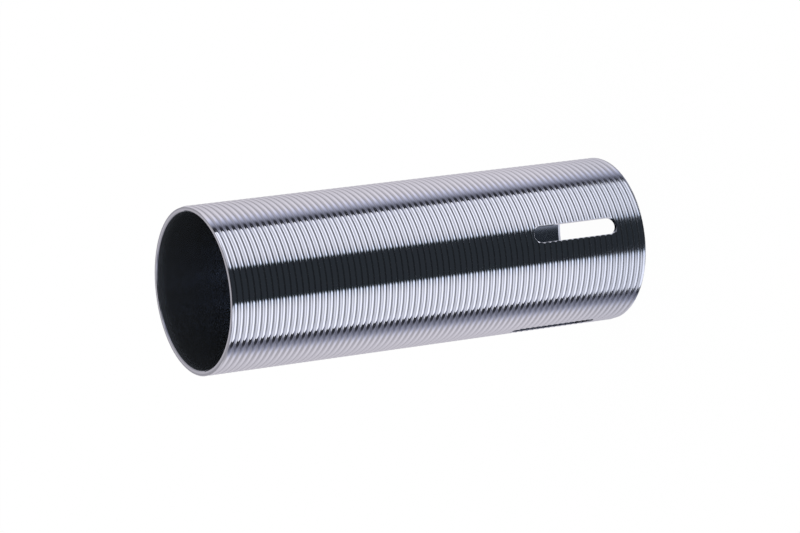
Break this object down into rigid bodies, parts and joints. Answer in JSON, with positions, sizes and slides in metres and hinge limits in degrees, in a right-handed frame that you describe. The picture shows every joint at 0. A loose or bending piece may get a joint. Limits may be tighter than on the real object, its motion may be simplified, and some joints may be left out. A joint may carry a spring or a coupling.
{
  "type": "finned cylinder sleeve",
  "caption": "Thin-walled open steel cylinder sleeve with fine turned fins outside, a plain bore and a ring of long round-ended ports near one end.",
  "frame": {"origin": "centre of the ported end's face, which the tube stands on", "axes": "+Z along the tube's axis from the ported end to the plain mouth, -Y towards the port that the picture shows"},
  "size_m": [0.0254, 0.0254, 0.0718],
  "materials": {
    "stainless": "bright turned stainless steel, smooth bore"
  },
  "bodies": {
    "root": {"finned_cylinder": "stainless"}
  },
  "joints": []
}
